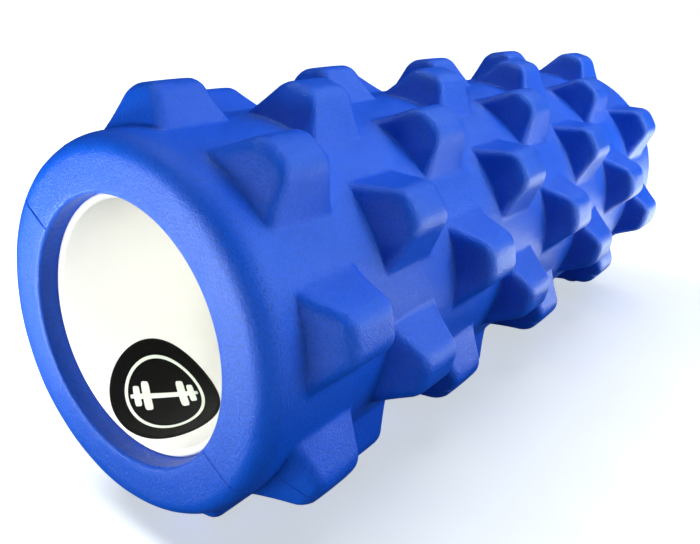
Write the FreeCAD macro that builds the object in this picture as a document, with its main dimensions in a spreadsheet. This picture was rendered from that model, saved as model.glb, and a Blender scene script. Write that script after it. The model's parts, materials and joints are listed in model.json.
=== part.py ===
import FreeCAD, Part
import os
import Sketcher
from FreeCAD import Placement, Rotation, Vector

# A hollow-core massage roller: two moulded foam half shells glued round a stiff tube, with an
# oval label on the tube's inner wall. The roller lies along X, and the origin is the middle of
# its bore. It stands on two neighbouring lines of bumps, one on each side of straight down.

X_AXIS = Vector(1, 0, 0)
Z_AXIS = Vector(0, 0, 1)

SIZES = {
    # foam sleeve
    "sleeve_length": 330.0,
    "sleeve_radius": 57.8,
    "bore_radius": 40.7,
    "end_round": 8.0,
    "bore_edge_round": 1.2,
    # bumps, in rows along X; alternate rows are staggered by half a step round the sleeve
    "row_count": 8,
    "row_pitch": 38.7,
    "bumps_per_row": 8,
    "tip_radius": 70.0,
    "shoulder_radius": 67.8,
    "root_radius": 54.0,
    "root_half_width": 16.0,
    "shoulder_half_width": 6.8,
    "crown_half_width": 4.0,
    # a bump's reach each way along X: the face towards the label end slopes, the other is steep
    "root_label_reach": 16.7,
    "shoulder_label_reach": 10.8,
    "crown_label_reach": 8.0,
    "root_far_reach": 11.4,
    "shoulder_far_reach": 9.6,
    "crown_far_reach": 7.4,
    # stiff tube inside the foam
    "tube_recess": 6.4,
    "tube_wall": 2.5,
    "tube_edge_chamfer": 0.5,
    # oval label on the tube's inner wall, just inside one mouth
    "label_half_length": 18.2,
    "label_half_width": 22.4,
    "label_thickness": 0.12,
    "label_from_end": 25.6,
    "label_angle": 18.3,
}

# The seam between the half shells runs through two opposite lines of bumps. In the sleeve's own
# frame it is the plane z = 0. This turn about X puts the lines of bumps in their resting place.
LINE_STEP = 360.0 / (2 * SIZES["bumps_per_row"])
SEAM_TURN = 1.5 * LINE_STEP


def make_sheet(doc):
    """The driving dimensions, one alias to a cell."""
    sheet = doc.addObject("Spreadsheet::Sheet", "Sizes")
    for row, (alias, value) in enumerate(SIZES.items(), start=1):
        sheet.set(f"A{row}", alias)
        sheet.set(f"B{row}", str(value))
        sheet.setAlias(f"B{row}", alias)
    doc.recompute()
    return sheet


def bind(target, expressions):
    """Ties properties to expressions over the sheet's cells."""
    for prop, expression in expressions.items():
        target.setExpression(prop, expression)


def origin_feature(body, role):
    """One of a body's own origin planes or axes."""
    for feature in body.Origin.OriginFeatures:
        if feature.Role == role:
            return feature
    raise ValueError(f"no origin feature {role}")


def new_sketch(body, name, role):
    """An empty sketch on one of the body's own origin planes."""
    sketch = body.newObject("Sketcher::SketchObject", name)
    sketch.AttachmentSupport = (origin_feature(body, role), [""])
    sketch.MapMode = "FlatFace"
    return sketch


def add_rectangle(sketch, left, right, low, high):
    """Four joined lines, each side given as (value, name, expression) from the sketch's origin."""
    x0, x1, y0, y1 = left[0], right[0], low[0], high[0]
    corners = [(x0, y0), (x1, y0), (x1, y1), (x0, y1)]
    sides = []
    for number, start in enumerate(corners):
        finish = corners[(number + 1) % 4]
        line = Part.LineSegment(Vector(*start, 0), Vector(*finish, 0))
        sides.append(sketch.addGeometry(line, False))
    for number, side in enumerate(sides):
        next_side = sides[(number + 1) % 4]
        sketch.addConstraint(Sketcher.Constraint("Coincident", side, 2, next_side, 1))
        direction = "Horizontal" if number % 2 == 0 else "Vertical"
        sketch.addConstraint(Sketcher.Constraint(direction, side))
    for kind, side, (value, name, expression) in (
        ("DistanceX", sides[0], left),
        ("DistanceX", sides[1], right),
        ("DistanceY", sides[0], low),
        ("DistanceY", sides[2], high),
    ):
        index = sketch.addConstraint(Sketcher.Constraint(kind, -1, 1, side, 1, value))
        sketch.renameConstraint(index, name)
        sketch.setExpression(f"Constraints.{name}", expression)


def round_edges(body, feature, name, radius, length_expression):
    """A fillet on every circular edge of the feature that has this radius."""
    edges = []
    for number, edge in enumerate(feature.Shape.Edges, start=1):
        if isinstance(edge.Curve, Part.Circle) and abs(edge.Curve.Radius - radius) < 1e-3:
            edges.append(f"Edge{number}")
    fillet = body.newObject("PartDesign::Fillet", name)
    fillet.Base = (feature, edges)
    fillet.setExpression("Radius", length_expression)
    return fillet


def bump_section(body, name, turn, row, level, height):
    """One rectangle of a bump's loft, square to the radius at the given turn about X."""
    label_reach, far_reach, half_width = f"{level}_label_reach", f"{level}_far_reach", f"{level}_half_width"
    sketch = new_sketch(body, name, "XY_Plane")
    add_rectangle(
        sketch,
        (-SIZES[label_reach], "back", f"-Sizes.{label_reach}"),
        (SIZES[far_reach], "front", f"Sizes.{far_reach}"),
        (-SIZES[half_width], "side_a", f"-Sizes.{half_width}"),
        (SIZES[half_width], "side_b", f"Sizes.{half_width}"),
    )
    sketch.AttachmentOffset = Placement(Vector(0, 0, 0), Rotation(X_AXIS, turn))
    from_middle = f"({row} - (Sizes.row_count - 1) / 2) * Sizes.row_pitch"
    bind(sketch, {
        "AttachmentOffset.Base.x": from_middle,
        "AttachmentOffset.Base.y": f"-Sizes.{height} * sin({turn} deg)",
        "AttachmentOffset.Base.z": f"Sizes.{height} * cos({turn} deg)",
    })
    return sketch


def add_bumps(doc, body, name, turn, first_row):
    """A bump in the given row, repeated round the sleeve and in every second row along it."""
    sections = [
        bump_section(body, f"{name}Root", turn, first_row, "root", "root_radius"),
        bump_section(body, f"{name}Shoulder", turn, first_row, "shoulder", "shoulder_radius"),
        bump_section(body, f"{name}Crown", turn, first_row, "crown", "tip_radius"),
    ]
    doc.recompute()
    bump = body.newObject("PartDesign::AdditiveLoft", f"{name}Bump")
    bump.Profile = sections[0]
    bump.Sections = sections[1:]
    bump.Ruled = True
    doc.recompute()

    pattern = body.newObject("PartDesign::MultiTransform", f"{name}Pattern")
    pattern.Originals = [bump]
    along = doc.addObject("PartDesign::LinearPattern", f"{name}Along")
    along.Direction = (origin_feature(body, "X_Axis"), [""])
    bind(along, {
        "Length": "(Sizes.row_count - 2) * Sizes.row_pitch",
        "Occurrences": "Sizes.row_count / 2",
    })
    around = doc.addObject("PartDesign::PolarPattern", f"{name}Around")
    around.Axis = (origin_feature(body, "X_Axis"), [""])
    around.Angle = 360
    around.setExpression("Occurrences", "Sizes.bumps_per_row")
    body.addObject(along)
    body.addObject(around)
    pattern.Transformations = [along, around]
    body.Tip = pattern
    doc.recompute()
    return pattern


def make_sleeve(doc):
    """The whole moulded sleeve, before the seam parts it into two half shells."""
    body = doc.addObject("PartDesign::Body", "SleeveBlank")
    profile = new_sketch(body, "SleeveProfile", "XZ_Plane")
    half = SIZES["sleeve_length"] / 2
    add_rectangle(
        profile,
        (-half, "end_a", "-Sizes.sleeve_length / 2"),
        (half, "end_b", "Sizes.sleeve_length / 2"),
        (SIZES["bore_radius"], "bore", "Sizes.bore_radius"),
        (SIZES["sleeve_radius"], "outside", "Sizes.sleeve_radius"),
    )
    doc.recompute()
    wall = body.newObject("PartDesign::Revolution", "SleeveWall")
    wall.Profile = profile
    wall.ReferenceAxis = (profile, ["H_Axis"])
    wall.Angle = 360
    doc.recompute()
    ends = round_edges(body, wall, "EndRounding", SIZES["sleeve_radius"], "Sizes.end_round")
    doc.recompute()
    round_edges(body, ends, "BoreEdgeRounding", SIZES["bore_radius"], "Sizes.bore_edge_round")
    doc.recompute()
    add_bumps(doc, body, "Odd", 0, 0)
    add_bumps(doc, body, "Even", LINE_STEP, 1)
    return body


def make_half_shell(doc, sleeve, name, side):
    """The sleeve's part on one side of the seam plane, turned into its resting place."""
    keep = doc.addObject("Part::Box", f"{name}_side")
    bind(keep, {
        "Length": "Sizes.sleeve_length",
        "Width": "2 * Sizes.tip_radius",
        "Height": "Sizes.tip_radius",
        "Placement.Base.x": "-Sizes.sleeve_length / 2",
        "Placement.Base.y": "-Sizes.tip_radius",
    })
    if side < 0:
        keep.setExpression("Placement.Base.z", "-Sizes.tip_radius")
    shell = doc.addObject("Part::Common", name)
    shell.Base = sleeve
    shell.Tool = keep
    shell.Label = name
    shell.Placement = Placement(Vector(0, 0, 0), Rotation(X_AXIS, SEAM_TURN))
    return shell


def make_core_tube(doc):
    """The stiff tube that the foam is glued to. Its ends stop short of the foam's."""
    body = doc.addObject("PartDesign::Body", "CoreTube")
    body.Label = "core_tube"
    ring = new_sketch(body, "TubeRing", "YZ_Plane")
    outside = Part.Circle(Vector(0, 0, 0), Z_AXIS, SIZES["bore_radius"])
    inside = Part.Circle(Vector(0, 0, 0), Z_AXIS, SIZES["bore_radius"] - SIZES["tube_wall"])
    for circle, name, expression in (
        (outside, "outside", "Sizes.bore_radius"),
        (inside, "inside", "Sizes.bore_radius - Sizes.tube_wall"),
    ):
        index = ring.addGeometry(circle, False)
        ring.addConstraint(Sketcher.Constraint("Coincident", index, 3, -1, 1))
        radius = ring.addConstraint(Sketcher.Constraint("Radius", index, circle.Radius))
        ring.renameConstraint(radius, name)
        ring.setExpression(f"Constraints.{name}", expression)
    doc.recompute()
    wall = body.newObject("PartDesign::Pad", "TubeWall")
    wall.Profile = ring
    wall.Midplane = True
    wall.setExpression("Length", "Sizes.sleeve_length - 2 * Sizes.tube_recess")
    doc.recompute()
    edges = [
        f"Edge{number}"
        for number, edge in enumerate(wall.Shape.Edges, start=1)
        if isinstance(edge.Curve, Part.Circle)
    ]
    chamfer = body.newObject("PartDesign::Chamfer", "TubeEdges")
    chamfer.Base = (wall, edges)
    chamfer.setExpression("Size", "Sizes.tube_edge_chamfer")
    body.Tip = chamfer
    return body


def make_label(doc):
    """A thin oval skin on the tube's inner wall: a thin ring cut out by an oval cutter."""
    wall = doc.addObject("Part::Cylinder", "LabelOutside")
    hollow = doc.addObject("Part::Cylinder", "LabelInside")
    bind(wall, {
        "Radius": "Sizes.bore_radius - Sizes.tube_wall",
        "Height": "4 * Sizes.label_half_length",
    })
    bind(hollow, {
        "Radius": "Sizes.bore_radius - Sizes.tube_wall - Sizes.label_thickness",
        "Height": "4 * Sizes.label_half_length",
    })
    along_x = Rotation(Vector(0, 1, 0), 90)
    for ring in (wall, hollow):
        ring.Placement = Placement(Vector(0, 0, 0), along_x)
        ring.setExpression("Placement.Base.x", "-2 * Sizes.label_half_length")
    outline = doc.addObject("Part::Ellipse", "LabelOutline")
    outline.Placement = Placement(Vector(0, 0, 0), Rotation(Z_AXIS, 90))
    bind(outline, {
        "MajorRadius": "Sizes.label_half_width",
        "MinorRadius": "Sizes.label_half_length",
    })
    cutter = doc.addObject("Part::Extrusion", "LabelCutter")
    cutter.Base = outline
    cutter.DirMode = "Custom"
    cutter.Dir = -Z_AXIS
    cutter.Solid = True
    cutter.setExpression("LengthFwd", "Sizes.bore_radius")
    skin = doc.addObject("Part::Cut", "LabelSkin")
    skin.Base = wall
    skin.Tool = hollow
    label = doc.addObject("Part::Common", "InnerLabel")
    label.Base = skin
    label.Tool = cutter
    label.Label = "inner_label"
    label.Placement = Placement(Vector(0, 0, 0), Rotation(X_AXIS, SIZES["label_angle"]))
    label.setExpression("Placement.Base.x", "Sizes.label_from_end - Sizes.sleeve_length / 2")
    return label


def check(doc, parts):
    """Stops if any object failed or any sub-part isn't one sound solid."""
    for item in doc.Objects:
        if "Invalid" in item.State or "Error" in item.State:
            raise RuntimeError(f"{item.Name} failed: {item.State}")
    for part in parts:
        shape = part.Shape
        if shape.isNull() or not shape.isValid() or len(shape.Solids) != 1:
            raise RuntimeError(f"{part.Label} isn't one valid solid")
        box = shape.BoundBox
        print(f"{part.Label}: {shape.Volume / 1000:.1f} cm3, "
              f"{box.XLength:.1f} x {box.YLength:.1f} x {box.ZLength:.1f} mm")


def main():
    doc = FreeCAD.newDocument("massage_roller")
    make_sheet(doc)
    sleeve = make_sleeve(doc)
    parts = [
        make_half_shell(doc, sleeve, "foam_shell_upper", 1),
        make_half_shell(doc, sleeve, "foam_shell_lower", -1),
        make_core_tube(doc),
        make_label(doc),
    ]
    doc.recompute()
    check(doc, parts)
    os.makedirs("parts", exist_ok=True)
    for part in parts:
        part.Shape.exportStep(os.path.join("parts", f"{part.Label}.step"))


main()
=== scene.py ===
import json
import math

import bmesh
import bpy
import numpy as np
from mathutils import Matrix, Vector


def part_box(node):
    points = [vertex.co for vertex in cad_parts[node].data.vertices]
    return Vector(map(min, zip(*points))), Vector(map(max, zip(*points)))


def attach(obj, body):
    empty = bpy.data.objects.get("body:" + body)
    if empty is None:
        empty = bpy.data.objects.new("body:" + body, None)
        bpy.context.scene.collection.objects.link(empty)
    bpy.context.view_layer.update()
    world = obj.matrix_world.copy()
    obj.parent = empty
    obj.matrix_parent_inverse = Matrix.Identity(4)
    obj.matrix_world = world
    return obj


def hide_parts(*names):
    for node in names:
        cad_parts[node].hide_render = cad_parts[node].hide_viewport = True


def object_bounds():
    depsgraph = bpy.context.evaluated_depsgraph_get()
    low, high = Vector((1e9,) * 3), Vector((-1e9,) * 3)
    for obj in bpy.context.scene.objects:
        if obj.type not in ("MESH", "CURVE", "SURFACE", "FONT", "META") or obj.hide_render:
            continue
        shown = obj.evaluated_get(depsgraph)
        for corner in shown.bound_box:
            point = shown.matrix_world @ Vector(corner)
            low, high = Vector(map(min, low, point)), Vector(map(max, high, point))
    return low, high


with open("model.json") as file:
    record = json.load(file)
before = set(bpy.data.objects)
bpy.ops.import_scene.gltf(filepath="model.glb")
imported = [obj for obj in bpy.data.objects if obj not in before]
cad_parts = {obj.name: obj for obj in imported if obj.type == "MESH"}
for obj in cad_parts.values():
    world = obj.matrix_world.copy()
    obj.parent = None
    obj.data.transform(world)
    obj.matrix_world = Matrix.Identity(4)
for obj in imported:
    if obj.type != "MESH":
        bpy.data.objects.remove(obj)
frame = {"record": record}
cad_low, cad_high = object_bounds()

# --------------------------------------------------------------------------------------
# Sizes, in metres. Places come from the frame; the rest is how foam takes its shape.
# --------------------------------------------------------------------------------------
MM = 0.001

shell_low, shell_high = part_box("foam_shell_upper")
tube_low, tube_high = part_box("core_tube")
label_low, label_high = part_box("inner_label")
core_bore = next(m for m in frame["record"]["mounts"] if m["name"] == "core_bore")

HALF_LENGTH = shell_high.x
BORE_RADIUS = tube_high.y
TUBE_HALF_LENGTH = tube_high.x
TUBE_INNER = core_bore["dims"]["r_mm"] * MM

SLEEVE_RADIUS = 57.8 * MM
END_ROUND = 8.4 * MM
END_ROUND_DEPTH = 6.4 * MM
BORE_EDGE_ROUND = 1.3 * MM

ROWS = 8
BUMPS_ROUND = 8
ROW_PITCH = 38.7 * MM
LINE_STEP = math.radians(360 / (2 * BUMPS_ROUND))
ODD_LINE = 1.5 * LINE_STEP
EVEN_LINE = 0.5 * LINE_STEP
SEAM_ANGLE = 1.5 * LINE_STEP

TIP_RADIUS = 70.0 * MM
NEAR_END = 15.0 * MM
NEAR_LEAN = math.radians(22.0)
NEAR_FLARE = 0.6 * MM
FAR_END = 10.8 * MM
FAR_LEAN = math.radians(6.5)
FAR_FLARE = 0.3 * MM
FLANK_HALF = 13.4 * MM
FLANK_LEAN = math.radians(31.0)
FLANK_FLARE = 0.3 * MM
CROWN_DOME = 0.018
DOME_SPAN = 4 * MM
DOME_ALONG = 0.4
FLARE_MIDDLE = 0.25
EDGE_ROUND = 3.0 * MM
ROOT_ROUND = 0.7 * MM

SEAM_WIDTH = 0.55 * MM
SEAM_DEPTH = 0.60 * MM
SEAM_GAP = 0.05 * MM

# unevenness of the foam's skin, in millimetres
LONG_WAVE = 0.10
SHORT_WAVE = 0.035

HALVINGS = 22
ROW_REACH = 19.0 * MM
WORN_DEPTH = 3.5 * MM
TUBE_AROUND = 144
LIP_SHARE = 0.45

SEED = 7
rng = np.random.default_rng(SEED)


# --------------------------------------------------------------------------------------
# Mesh helpers
# --------------------------------------------------------------------------------------
def mesh_object(name, points, faces, smooth=True):
    mesh = bpy.data.meshes.new(name)
    mesh.from_pydata([tuple(p) for p in points], [], faces)
    mesh.update()
    mesh.polygons.foreach_set("use_smooth", [smooth] * len(mesh.polygons))
    piece = bpy.data.objects.new(name, mesh)
    bpy.context.scene.collection.objects.link(piece)
    return piece


def grid_faces(rows, columns, wrap_columns=False, flip=False):
    """Quads over a rows x columns array of points."""
    faces = []
    for i in range(rows - 1):
        for j in range(columns if wrap_columns else columns - 1):
            k = (j + 1) % columns
            quad = (
                i * columns + j,
                i * columns + k,
                (i + 1) * columns + k,
                (i + 1) * columns + j,
            )
            faces.append(quad[::-1] if flip else quad)
    return faces


def soft_noise(points, scale, waves=9, seed=0):
    """A smooth random field, about -1 to 1, from a few seeded sine waves."""
    source = np.random.default_rng(SEED + seed)
    total = np.zeros(points.shape[:-1])
    for _ in range(waves):
        direction = source.normal(size=3)
        direction *= scale * source.uniform(0.6, 1.4) / np.linalg.norm(direction)
        total += np.sin(points @ direction + source.uniform(0, 2 * math.pi))
    return total / math.sqrt(waves)


# --------------------------------------------------------------------------------------
# The foam surface: distance to a bump and to the sleeve, joined with rounded edges
# --------------------------------------------------------------------------------------
def round_meet(distances, radius):
    """Where solids overlap: the edge between their faces is rounded to this radius."""
    stack = np.stack(distances)
    corner = np.sqrt((np.maximum(stack + radius, 0) ** 2).sum(0))
    return np.minimum(-radius, stack.max(0)) + corner


def round_join(first, second, radius):
    """Two solids joined, with a fillet of this radius in the corner between them."""
    a = np.maximum(radius - first, 0)
    b = np.maximum(radius - second, 0)
    return np.maximum(radius, np.minimum(first, second)) - np.hypot(a, b)


ROW_PLACES = (np.arange(ROWS) - (ROWS - 1) / 2) * ROW_PITCH
height_change = rng.normal(0, 0.12 * MM, (ROWS, BUMPS_ROUND))
end_change = rng.normal(0, 0.10 * MM, (ROWS, BUMPS_ROUND))


def foam_distance(x, angle, radius):
    """How far a point lies outside the foam's outer surface, negative inside it."""
    row = np.abs(x[..., None] - ROW_PLACES).argmin(-1)
    line_start = np.where(row % 2 == 0, ODD_LINE, EVEN_LINE)
    line = np.round((angle - line_start) / (2 * LINE_STEP)).astype(int)
    turn = angle - line_start - line * 2 * LINE_STEP
    lift = height_change[row, line % BUMPS_ROUND]
    along = x - ROW_PLACES[row]
    across = np.abs(radius * np.sin(turn))
    up = radius * np.cos(turn)

    dome = CROWN_DOME * (across ** 2 + DOME_ALONG * along ** 2) / DOME_SPAN
    crown = up - (TIP_RADIUS + lift) + dome
    drop = np.clip((TIP_RADIUS - up) / (TIP_RADIUS - SLEEVE_RADIUS), 0, 1.3)
    near_half = NEAR_END + end_change[row, line % BUMPS_ROUND]
    near_half = near_half - (up - SLEEVE_RADIUS) * math.tan(NEAR_LEAN)
    near_half = near_half + NEAR_FLARE * (drop ** 3 - FLARE_MIDDLE)
    near_end = (-along - near_half) * math.cos(NEAR_LEAN)
    far_half = FAR_END - (up - SLEEVE_RADIUS) * math.tan(FAR_LEAN)
    far_half = far_half + FAR_FLARE * (drop ** 3 - FLARE_MIDDLE)
    far_end = (along - far_half) * math.cos(FAR_LEAN)
    flank_half = FLANK_HALF - (up - SLEEVE_RADIUS) * math.tan(FLANK_LEAN)
    flank_half = flank_half + FLANK_FLARE * (drop ** 3 - FLARE_MIDDLE)
    flank = (across - flank_half) * math.cos(FLANK_LEAN)
    bump = round_meet([crown, near_end, far_end, flank], EDGE_ROUND)
    return round_join(bump, radius - SLEEVE_RADIUS, ROOT_ROUND)


def foam_radius(x, angle):
    """The outer surface's radius over the sleeve, found by halving."""
    low = np.full(x.shape, SLEEVE_RADIUS - 2 * MM)
    high = np.full(x.shape, TIP_RADIUS + 3 * MM)
    for _ in range(HALVINGS):
        middle = (low + high) / 2
        outside = foam_distance(x, angle, middle) > 0
        high = np.where(outside, middle, high)
        low = np.where(outside, low, middle)
    return (low + high) / 2


def stations_along():
    """Places along X, close together over the bumps' crown edges, ends and roots. Each row's
    are in millimetres from its middle; the steep far face needs the closest ones."""
    near_root = np.linspace(16.15, 14.85, 7)
    near_crown = np.linspace(11.0, 6.9, 9)
    near = -np.concatenate([near_root, [14.1, 13.1, 12.1], near_crown, [4.5]])
    far_crown = [6.5, 7.2, 7.8, 8.3, 8.7, 9.05, 9.3, 9.5]
    far_end = np.linspace(9.65, 10.8, 8)
    far_root = [10.95, 11.1, 11.3, 11.55, 12.0]
    offsets = np.concatenate([near, [0.0, 4.0], far_crown, far_end, far_root]) * MM
    places = [ROW_PLACES[0] - ROW_REACH]
    for row in ROW_PLACES:
        places.extend(row + offsets)
    places.append(ROW_PLACES[-1] + ROW_REACH)
    return np.array(places)


def stations_round(start):
    """Angles over one half shell, close together at the seams, the bumps' roots and edges.
    The bumps' are in degrees from their middle line, the seam's in millimetres round."""
    crown_edge = [1.8, 3.0, 3.9, 4.7, 5.5, 6.4, 7.3]
    root = [7.9, 8.35, 8.7, 9.0, 9.35, 10.2]
    side = np.radians([*crown_edge, *root])
    step = np.concatenate([[0], side, [LINE_STEP / 2], LINE_STEP - side[::-1]])
    lines = np.arange(BUMPS_ROUND) * LINE_STEP
    turns = (lines[:, None] + step).ravel()
    seam = np.array([0.1, 0.22, 0.38, 0.55, 0.8, 1.2]) * MM / SLEEVE_RADIUS
    return start + np.concatenate([[0], seam, turns[1:], math.pi - seam[::-1], [math.pi]])


def arc_points(centre_x, centre_r, radius, first, last, count, depth=None):
    """A quarter turn in the (x, r) plane, angles in degrees from +x towards +r. It reaches
    radius along x and, where depth is given, depth along r."""
    angles = np.radians(np.linspace(first, last, count))
    depth = depth or radius
    return [(centre_x + radius * math.cos(a), centre_r + depth * math.sin(a)) for a in angles]


def shell_points(start):
    """The half shell's surface as an array: one closed loop of points for every angle."""
    angles = stations_round(start)
    along = stations_along()
    x, a = np.meshgrid(along, angles)
    outer_r = foam_radius(x, a)
    left, right = -HALF_LENGTH, HALF_LENGTH
    flat_r = SLEEVE_RADIUS - END_ROUND_DEPTH
    bore_r = BORE_RADIUS + BORE_EDGE_ROUND
    left_round = arc_points(left + END_ROUND, flat_r, END_ROUND, 180, 90, 11, END_ROUND_DEPTH)
    right_round = arc_points(right - END_ROUND, flat_r, END_ROUND, 90, 0, 11, END_ROUND_DEPTH)
    right_flat = [(right, r) for r in np.linspace(flat_r, bore_r, 5)[1:-1]]
    left_flat = [(left, r) for r in np.linspace(bore_r, flat_r, 5)[1:-1]]
    right_bore = arc_points(right - BORE_EDGE_ROUND, bore_r, BORE_EDGE_ROUND, 0, -90, 5)
    left_bore = arc_points(left + BORE_EDGE_ROUND, bore_r, BORE_EDGE_ROUND, -90, -180, 5)
    bore_stops = np.linspace(right - BORE_EDGE_ROUND, left + BORE_EDGE_ROUND, 9)[1:-1]
    bore = [(s, BORE_RADIUS) for s in bore_stops]
    after = np.array(right_round + right_flat + right_bore + bore + left_bore + left_flat)
    before = np.array(left_round)

    def spread(pairs):
        fixed = np.broadcast_to(pairs[None], (len(angles), *pairs.shape))
        return fixed[..., 0], fixed[..., 1]

    before_x, before_r = spread(before)
    after_x, after_r = spread(after)
    xs = np.concatenate([before_x, x, after_x], 1)
    rs = np.concatenate([before_r, outer_r, after_r], 1)
    a_all = np.broadcast_to(angles[:, None], xs.shape)
    points = np.stack([xs, rs * np.cos(a_all), rs * np.sin(a_all)], -1)
    return points, angles, len(before), len(along)


def surface_normals(points):
    """Unit normals of a grid whose second index closes on itself."""
    across = np.roll(points, -1, 1) - np.roll(points, 1, 1)
    along = np.gradient(points, axis=0)
    normal = np.cross(across, along)
    return normal / np.maximum(np.linalg.norm(normal, axis=-1, keepdims=True), 1e-12)


def make_half_shell(name, node, start):
    points, angles, lead, count = shell_points(start)
    normals = surface_normals(points)
    outward = np.stack([np.zeros(len(angles)), np.cos(angles), np.sin(angles)], -1)[:, None]
    if (normals[:, lead + count // 2] * outward[:, 0]).sum() < 0:
        normals = -normals

    # the foam's skin isn't dead flat, and the seam's two lips roll in and open unevenly
    radius = np.hypot(points[..., 1], points[..., 2])
    skin = np.clip((radius - BORE_RADIUS) / (2 * MM), 0, 1)
    long_wave = soft_noise(points, 95, seed=1) * LONG_WAVE * MM
    short_wave = soft_noise(points, 320, seed=2) * SHORT_WAVE * MM
    from_seam = np.minimum(angles - angles[0], angles[-1] - angles) * SLEEVE_RADIUS
    lip = np.clip(1 - from_seam / SEAM_WIDTH, 0, 1)[:, None] ** 1.6
    wander = 0.75 + 0.35 * soft_noise(points, 60, seed=3)
    move = skin * (long_wave + short_wave - SEAM_DEPTH * lip * np.clip(wander, 0.25, 1.4))
    sideways = np.stack([np.zeros(len(angles)), -np.sin(angles), np.cos(angles)], -1)[:, None]
    shift = normals * move[..., None]
    for edge in (0, -1):
        tangent = (shift[edge] * sideways[edge]).sum(-1, keepdims=True)
        shift[edge] -= tangent * sideways[edge]
    points = points + shift
    closing = np.where(np.arange(len(angles)) < len(angles) / 2, 1.0, -1.0)
    gap = SEAM_GAP * (lip[:, 0] > 0.99) * closing
    points = points + sideways * gap[:, None, None]

    loops, per_loop = points.shape[:2]
    faces = grid_faces(loops, per_loop, wrap_columns=True, flip=True)
    first_cap = list(range(per_loop))
    last_cap = [(loops - 1) * per_loop + j for j in range(per_loop)]
    faces.append(tuple(first_cap))
    faces.append(tuple(last_cap[::-1]))
    piece = mesh_object(name, points.reshape(-1, 3), faces)
    piece.data.polygons[-1].use_smooth = False
    piece.data.polygons[-2].use_smooth = False

    crown = np.clip((radius - (TIP_RADIUS - WORN_DEPTH)) / WORN_DEPTH, 0, 1).reshape(-1)
    attribute = piece.data.attributes.new("crown", "FLOAT", "POINT")
    attribute.data.foreach_set("value", crown.astype(np.float32))
    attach(piece, "root")
    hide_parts(node)
    return piece


# --------------------------------------------------------------------------------------
# The tube and the label on its inner wall
# --------------------------------------------------------------------------------------
def make_tube():
    """A stiff tube with softly rounded lips."""
    wall = BORE_RADIUS - TUBE_INNER
    lip = LIP_SHARE * wall
    end, inner, outer = TUBE_HALF_LENGTH, TUBE_INNER, BORE_RADIUS
    stops = np.linspace(-end + lip, end - lip, 24)[1:-1]
    profile = arc_points(end - lip, outer - lip, lip, 90, 0, 6)
    profile += arc_points(end - lip, inner + lip, lip, 0, -90, 6)
    profile += [(s, inner) for s in stops[::-1]]
    profile += arc_points(-end + lip, inner + lip, lip, -90, -180, 6)
    profile += arc_points(-end + lip, outer - lip, lip, 180, 90, 6)
    profile += [(s, outer) for s in stops]
    around = TUBE_AROUND
    angles = np.linspace(0, 2 * math.pi, around, endpoint=False)
    x = np.array([p[0] for p in profile])
    r = np.array([p[1] for p in profile])
    points = np.stack([
        np.broadcast_to(x, (around, len(x))),
        np.cos(angles)[:, None] * r,
        np.sin(angles)[:, None] * r,
    ], -1)
    faces = grid_faces(around, len(x), wrap_columns=True)
    last, columns = (around - 1) * len(x), len(x)
    for j in range(columns):
        k = (j + 1) % columns
        faces.append((last + j, last + k, k, j))
    piece = mesh_object("core_tube_shell", points.reshape(-1, 3), faces)
    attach(piece, "root")
    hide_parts("core_tube")
    return piece


LABEL_MIDDLE = (label_low + label_high) / 2
LABEL_HALF = ((label_high.x - label_low.x) / 2, 23.3 * MM)
LABEL_ANGLE = math.atan2(LABEL_MIDDLE.z, LABEL_MIDDLE.y)
LABEL_THICKNESS = 0.12 * MM
LABEL_LIFT = 0.005 * MM
PRINT_THICKNESS = 0.03 * MM
PRINT_SINK = 0.02 * MM
RING_HALF = (13.2 * MM, 17.0 * MM)
RING_OPEN = 0.92
BAR_HALF = (11.4 * MM, 1.1 * MM)
# each weight plate's place along the bar, its half width and half height, in millimetres
PLATES = ((6.0, 1.35, 6.2, "large"), (9.2, 1.1, 4.2, "small"))
PRINT_TURN = math.radians(-28)


def wall_patch(name, centre, half, power, inner, low, high):
    """A thin closed patch that follows the tube's inner wall. Its outline is a rounded box
    (power 2 is an ellipse), and inner is the share of it that is left open in the middle."""
    around, rings = 96, 14
    theta = np.linspace(0, 2 * math.pi, around, endpoint=False)
    reach = np.abs(np.cos(theta) / half[0]) ** power + np.abs(np.sin(theta) / half[1]) ** power
    reach = reach ** (-1 / power)
    share = np.linspace(max(inner, 0.02), 1, rings)
    edge = 0.4 * (high - low)
    loop = [(s, high) for s in share[:-1]]
    loop += [(1 - edge / max(half), high), (1, high - edge), (1, low)]
    loop += [(s, low) for s in share[::-1][1:]]
    shares = np.array([p[0] for p in loop])
    heights = np.array([p[1] for p in loop])
    s = centre[0] + np.cos(theta)[:, None] * reach[:, None] * shares
    t = centre[1] + np.sin(theta)[:, None] * reach[:, None] * shares
    turned_s = s * math.cos(PRINT_TURN) - t * math.sin(PRINT_TURN)
    turned_t = s * math.sin(PRINT_TURN) + t * math.cos(PRINT_TURN)
    r = TUBE_INNER - heights
    angle = LABEL_ANGLE + turned_t / TUBE_INNER
    points = np.stack([LABEL_MIDDLE.x + turned_s, r * np.cos(angle), r * np.sin(angle)], -1)
    columns = points.shape[1]
    points = points.reshape(-1, 3)
    faces = grid_faces(around, columns, wrap_columns=bool(inner))
    last = (around - 1) * columns
    for j in range(columns if inner else columns - 1):
        k = (j + 1) % columns
        faces.append((last + j, last + k, k, j))
    if not inner:
        faces.append(tuple(i * columns for i in range(around)))
        faces.append(tuple(i * columns + columns - 1 for i in range(around))[::-1])
    piece = mesh_object(name, points, faces)
    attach(piece, "root")
    return piece


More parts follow.
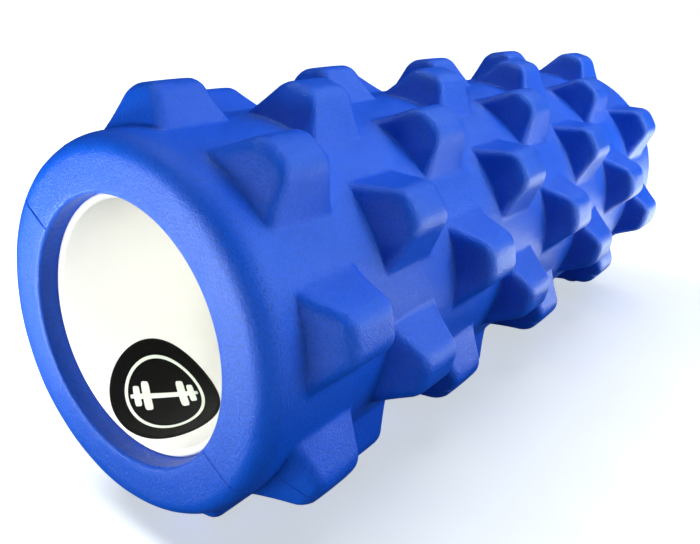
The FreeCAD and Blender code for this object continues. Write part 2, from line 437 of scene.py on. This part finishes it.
def make_label():
    """An oval black sticker with a generic printed ring and dumbbell."""
    sticker = wall_patch("label_sticker", (0, 0), LABEL_HALF, 2, 0, LABEL_LIFT, LABEL_THICKNESS)
    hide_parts("inner_label")
    low, high = LABEL_THICKNESS - PRINT_SINK, LABEL_THICKNESS + PRINT_THICKNESS
    prints = [
        wall_patch("label_ring", (0, 0), RING_HALF, 2, RING_OPEN, low, high),
        wall_patch("label_bar", (0, 0), BAR_HALF, 8, 0, low, high),
    ]
    for side, word in ((-1, "left"), (1, "right")):
        for place, half_width, half_height, size in PLATES:
            prints.append(wall_patch(
                f"label_plate_{size}_{word}", (side * place * MM, 0),
                (half_width * MM, half_height * MM), 6, 0, low, high))
    return sticker, prints


def close_up(piece):
    """Turns every face of a closed mesh outwards."""
    work = bmesh.new()
    work.from_mesh(piece.data)
    bmesh.ops.recalc_face_normals(work, faces=work.faces)
    work.to_mesh(piece.data)
    work.free()


# --------------------------------------------------------------------------------------
# Materials
# --------------------------------------------------------------------------------------
def new_material(name, colour, roughness):
    material = bpy.data.materials.new(name)
    material.use_nodes = True
    shader = material.node_tree.nodes["Principled BSDF"]
    shader.inputs["Base Color"].default_value = (*colour, 1)
    shader.inputs["Roughness"].default_value = roughness
    return material, material.node_tree, shader


def add_node(tree, kind, **values):
    node = tree.nodes.new(kind)
    for key, value in values.items():
        if key in node.inputs:
            node.inputs[key].default_value = value
        else:
            setattr(node, key, value)
    return node


def object_noise(tree, scale, detail=2.0, roughness=0.5):
    """Noise over the object's own coordinates, in features per metre."""
    where = tree.nodes.get("Where") or tree.nodes.new("ShaderNodeTexCoord")
    where.name = "Where"
    noise = add_node(tree, "ShaderNodeTexNoise", Scale=scale, Detail=detail, Roughness=roughness)
    tree.links.new(where.outputs["Object"], noise.inputs["Vector"])
    return noise.outputs["Fac"]


def remap(tree, value, from_low, from_high, to_low, to_high):
    node = tree.nodes.new("ShaderNodeMapRange")
    node.inputs["From Min"].default_value = from_low
    node.inputs["From Max"].default_value = from_high
    node.inputs["To Min"].default_value = to_low
    node.inputs["To Max"].default_value = to_high
    tree.links.new(value, node.inputs["Value"])
    return node.outputs["Result"]


def mix_colours(tree, share, first, second):
    node = tree.nodes.new("ShaderNodeMix")
    node.data_type = "RGBA"
    for socket, value in ((node.inputs[6], first), (node.inputs[7], second)):
        if isinstance(value, tuple):
            socket.default_value = (*value, 1)
        else:
            tree.links.new(value, socket)
    tree.links.new(share, node.inputs[0])
    return node.outputs[2]


def bump_from(tree, height, distance, strength, below=None):
    node = add_node(tree, "ShaderNodeBump", Strength=strength, Distance=distance)
    tree.links.new(height, node.inputs["Height"])
    if below is not None:
        tree.links.new(below, node.inputs["Normal"])
    return node.outputs["Normal"]


def foam_material():
    """Moulded closed-cell foam: a satin skin with a fine leathery grain."""
    material, tree, shader = new_material("blue_foam", (0.004, 0.108, 0.75), 0.4)
    tint = remap(tree, object_noise(tree, 26, 3), 0.35, 0.65, 0, 1)
    colour = mix_colours(tree, tint, (0.004, 0.102, 0.74), (0.006, 0.116, 0.80))
    grain = object_noise(tree, 1500, 4, 0.65)
    pores = remap(tree, grain, 0.52, 0.36, 0, 0.55)
    colour = mix_colours(tree, pores, colour, (0.001, 0.060, 0.50))
    worn = add_node(tree, "ShaderNodeAttribute", attribute_name="crown").outputs["Fac"]
    fleck = remap(tree, object_noise(tree, 900, 2), 0.55, 0.75, 0, 1)
    rub = tree.nodes.new("ShaderNodeMath")
    rub.operation = "MULTIPLY"
    tree.links.new(worn, rub.inputs[0])
    tree.links.new(fleck, rub.inputs[1])
    rubbed = remap(tree, rub.outputs[0], 0, 1, 0, 0.25)
    colour = mix_colours(tree, rubbed, colour, (0.03, 0.20, 0.86))
    tree.links.new(colour, shader.inputs["Base Color"])
    gloss = remap(tree, object_noise(tree, 140, 3), 0.3, 0.7, 0.29, 0.37)
    tree.links.new(gloss, shader.inputs["Roughness"])
    dimple = object_noise(tree, 420, 2)
    skin = bump_from(tree, dimple, 0.0005, 0.10)
    skin = bump_from(tree, grain, 0.00028, 1.0, skin)
    tree.links.new(skin, shader.inputs["Normal"])
    shader.inputs["Specular IOR Level"].default_value = 0.40
    return material


def tube_material():
    """Off-white extruded plastic with faint lines along it."""
    material, tree, shader = new_material("white_tube", (0.89, 0.89, 0.83), 0.38)
    tint = remap(tree, object_noise(tree, 18, 2), 0.35, 0.65, 0, 1)
    tree.links.new(mix_colours(tree, tint, (0.88, 0.88, 0.82), (0.91, 0.91, 0.85)),
                   shader.inputs["Base Color"])
    where = tree.nodes["Where"]
    stretch = add_node(tree, "ShaderNodeMapping")
    stretch.inputs["Scale"].default_value = (0.04, 1, 1)
    tree.links.new(where.outputs["Object"], stretch.inputs["Vector"])
    lines = add_node(tree, "ShaderNodeTexNoise", Scale=900.0, Detail=1.0)
    tree.links.new(stretch.outputs["Vector"], lines.inputs["Vector"])
    tree.links.new(bump_from(tree, lines.outputs["Fac"], 0.0001, 0.12), shader.inputs["Normal"])
    gloss = remap(tree, lines.outputs["Fac"], 0.3, 0.7, 0.34, 0.44)
    tree.links.new(gloss, shader.inputs["Roughness"])
    return material


def label_material():
    """Black printed vinyl with a faint orange-peel skin."""
    material, tree, shader = new_material("black_vinyl", (0.003, 0.003, 0.003), 0.45)
    peel = object_noise(tree, 700, 2)
    tree.links.new(bump_from(tree, peel, 0.0001, 0.10), shader.inputs["Normal"])
    tree.links.new(remap(tree, peel, 0.3, 0.7, 0.40, 0.50), shader.inputs["Roughness"])
    shader.inputs["Specular IOR Level"].default_value = 0.12
    tree.links.new(mix_colours(tree, peel, (0.002, 0.002, 0.002), (0.004, 0.004, 0.004)),
                   shader.inputs["Base Color"])
    return material


def print_material():
    """Pale ink, slightly uneven."""
    material, tree, shader = new_material("pale_ink", (0.78, 0.83, 0.72), 0.4)
    spread = remap(tree, object_noise(tree, 260, 2), 0.35, 0.65, 0, 1)
    tree.links.new(mix_colours(tree, spread, (0.74, 0.80, 0.68), (0.82, 0.86, 0.77)),
                   shader.inputs["Base Color"])
    tree.links.new(remap(tree, spread, 0, 1, 0.36, 0.46), shader.inputs["Roughness"])
    return material


def floor_material():
    material, tree, shader = new_material("studio_floor", (0.88, 0.90, 0.91), 0.7)
    shader.inputs["Specular IOR Level"].default_value = 0.1
    shader.inputs["Emission Color"].default_value = (0.92, 0.98, 1.0, 1)
    where = add_node(tree, "ShaderNodeTexCoord")
    away = add_node(tree, "ShaderNodeVectorMath", operation="LENGTH")
    tree.links.new(where.outputs["Object"], away.inputs[0])
    glow = remap(tree, away.outputs["Value"], 0.5, 1.6, FLOOR_GLOW, 1.1)
    tree.links.new(glow, shader.inputs["Emission Strength"])
    return material


def backdrop_material():
    material, tree, shader = new_material("studio_backdrop", (0, 0, 0), 1.0)
    shader.inputs["Specular IOR Level"].default_value = 0
    shader.inputs["Emission Color"].default_value = (1, 1, 1, 1)
    shader.inputs["Emission Strength"].default_value = 1.0
    return material


# --------------------------------------------------------------------------------------
# Studio
# --------------------------------------------------------------------------------------
def add_area(name, place, aim, size, power, colour=(1, 1, 1)):
    """A soft rectangular light that faces a point."""
    lamp = bpy.data.lights.new(name, "AREA")
    lamp.shape = "RECTANGLE"
    lamp.size, lamp.size_y = size
    lamp.energy = power
    lamp.color = colour
    holder = bpy.data.objects.new(name, lamp)
    bpy.context.scene.collection.objects.link(holder)
    holder.location = place
    holder.rotation_euler = (Vector(aim) - Vector(place)).to_track_quat("-Z", "Y").to_euler()
    holder.visible_camera = False
    return holder


FLOOR_GLOW = 0.62
FLOOR_REACH = 9.0
CARD_LIFT = 0.002
COOL = (0.55, 0.82, 1.0)
END_TINT = (0.90, 1.0, 0.85)
BACKDROP_RADIUS = 8.0


def make_floor():
    """A pale floor that glows more with distance and stays out of the foam's reflections."""
    corners = [(-FLOOR_REACH, -FLOOR_REACH), (FLOOR_REACH, -FLOOR_REACH),
               (FLOOR_REACH, FLOOR_REACH), (-FLOOR_REACH, FLOOR_REACH)]
    floor = mesh_object("floor", [(x, y, cad_low.z) for x, y in corners], [(0, 1, 2, 3)], False)
    floor.data.materials.append(floor_material())
    floor.visible_diffuse = False
    floor.visible_glossy = False
    return floor


def make_backdrop():
    """A pale dome round the floor, which only shows behind it and lights nothing."""
    around, rings = 48, 12
    turns = np.linspace(0, 2 * math.pi, around, endpoint=False)
    rises = np.linspace(-0.02, 0.5 * math.pi - 0.02, rings)
    points = [
        (BACKDROP_RADIUS * math.cos(rise) * math.cos(turn),
         BACKDROP_RADIUS * math.cos(rise) * math.sin(turn),
         BACKDROP_RADIUS * math.sin(rise))
        for rise in rises for turn in turns
    ]
    faces = grid_faces(rings, around, wrap_columns=True, flip=True)
    faces.append(tuple(range((rings - 1) * around, rings * around)))
    dome = mesh_object("backdrop", points, faces)
    dome.data.materials.append(backdrop_material())
    dome.visible_diffuse = False
    dome.visible_glossy = False
    dome.visible_transmission = False
    dome.visible_shadow = False


def make_studio(shells, inside):
    """Floor, backdrop, and the lights for the foam, for the pieces inside it and for the floor."""
    floor = make_floor()
    make_backdrop()

    world = bpy.data.worlds.new("studio")
    world.use_nodes = True
    background = world.node_tree.nodes["Background"]
    background.inputs["Color"].default_value = (0.45, 0.70, 1.0, 1)
    background.inputs["Strength"].default_value = 0.05
    bpy.context.scene.world = world

    # Foam, tube and floor each have lights of their own. The foam's keys are cool, because its
    # sheen takes their tint. The two on the camera's side hang past the middle of the roller,
    # so the bumps' near faces stay dark.
    foam_lights = [
        add_area(name, place, (0, 0, 0), size, power, COOL)
        for name, place, size, power in (
            ("key_low", (0.65, -1.12, 0.52), (0.6, 0.5), 12),
            ("key_high", (0.81, -0.47, 1.04), (0.6, 0.6), 7),
            ("top_softbox", (0.0, 0.48, 1.32), (0.6, 0.6), 7.5),
            ("far_softbox", (0.94, 0.0, 1.04), (0.6, 0.6), 3),
        )
    ]
    # Low lights for the label end. The sleeve keeps most of their light off the bumps behind
    # the first row.
    foam_lights += [
        add_area("end_softbox", (-1.28, 0.37, 0.43), (-0.15, -0.035, 0.05), (0.2, 0.2), 1.5,
                 END_TINT),
        add_area("end_strip", (-0.75, 0.06, -0.042), (-0.165, 0, -0.01), (0.5, 0.05), 2.3),
    ]
    # The floor is hidden from the foam, so cards that lie on it give its bounce.
    card_height = cad_low.z + CARD_LIFT
    for name, x, y, size, power in (
        ("end_card", -0.335, 0.12, (0.16, 0.16), 1.4),
        ("side_card", 0.0, -0.45, (0.9, 0.4), 1.7),
        ("far_side_card", 0.45, -0.38, (0.6, 0.6), 5.0),
    ):
        foam_lights.append(add_area(name, (x, y, card_height), (x, y, 1), size, power, END_TINT))

    tube_lights = [
        add_area("tube_fill", (-0.75, -0.40, 0.12), (-0.10, 0.02, 0), (0.5, 0.4), 8.6),
        add_area("tube_low_fill", (-0.50, 0.22, 0.32), (-0.14, -0.01, -0.03), (0.3, 0.3), 3.0),
        add_area("far_tube_fill", (0.75, 0.40, 0.12), (0.10, -0.02, 0), (0.5, 0.4), 8.6),
    ]
    floor_lights = [
        add_area("floor_key", (-0.40, 0.70, 1.10), (0, 0, 0), (0.45, 0.45), 10),
        add_area("floor_top", (0.0, 0.0, 1.6), (0, 0, 0), (1.4, 1.4), 14),
    ]
    for name, lamps, lit in (
        ("lit_foam", foam_lights, shells),
        ("lit_inside", tube_lights, inside),
        ("lit_floor", floor_lights, [floor]),
    ):
        receivers = bpy.data.collections.new(name)
        for piece in lit:
            receivers.objects.link(piece)
        for lamp in lamps:
            lamp.light_linking.receiver_collection = receivers


CAMERA_PLACE = Vector((-0.2823, -0.1609, 0.0997))
CAMERA_HEADING = math.radians(54.24)
CAMERA_PITCH = math.radians(-18.36)
CAMERA_ROLL = math.radians(3.75)
CAMERA_LENS = 37.95
CAMERA_SHIFT = (0.0087, -0.0654)


def make_camera():
    level = math.cos(CAMERA_PITCH)
    forward = Vector((
        math.sin(CAMERA_HEADING) * level,
        math.cos(CAMERA_HEADING) * level,
        math.sin(CAMERA_PITCH),
    ))
    level_right = forward.cross(Vector((0, 0, 1))).normalized()
    level_up = level_right.cross(forward)
    right = level_right * math.cos(CAMERA_ROLL) + level_up * math.sin(CAMERA_ROLL)
    up = right.cross(forward)
    data = bpy.data.cameras.new("camera")
    data.lens = CAMERA_LENS
    data.sensor_width = 36
    data.shift_x, data.shift_y = CAMERA_SHIFT
    data.clip_start, data.clip_end = 0.01, 60
    camera = bpy.data.objects.new("camera", data)
    bpy.context.scene.collection.objects.link(camera)
    turn = Matrix((right, up, -forward)).transposed()
    camera.matrix_world = Matrix.Translation(CAMERA_PLACE) @ turn.to_4x4()
    bpy.context.scene.camera = camera


# --------------------------------------------------------------------------------------
# Build
# --------------------------------------------------------------------------------------
foam = foam_material()
shells = [
    make_half_shell("foam_half_upper", "foam_shell_upper", SEAM_ANGLE),
    make_half_shell("foam_half_lower", "foam_shell_lower", SEAM_ANGLE + math.pi),
]
for shell in shells:
    shell.data.materials.append(foam)
    close_up(shell)

tube = make_tube()
tube.data.materials.append(tube_material())
close_up(tube)

sticker, prints = make_label()
sticker.data.materials.append(label_material())
close_up(sticker)
ink = print_material()
for mark in prints:
    mark.data.materials.append(ink)
    close_up(mark)

make_studio(shells, [tube, sticker, *prints])
make_camera()
bpy.context.scene.view_settings.view_transform = "Standard"
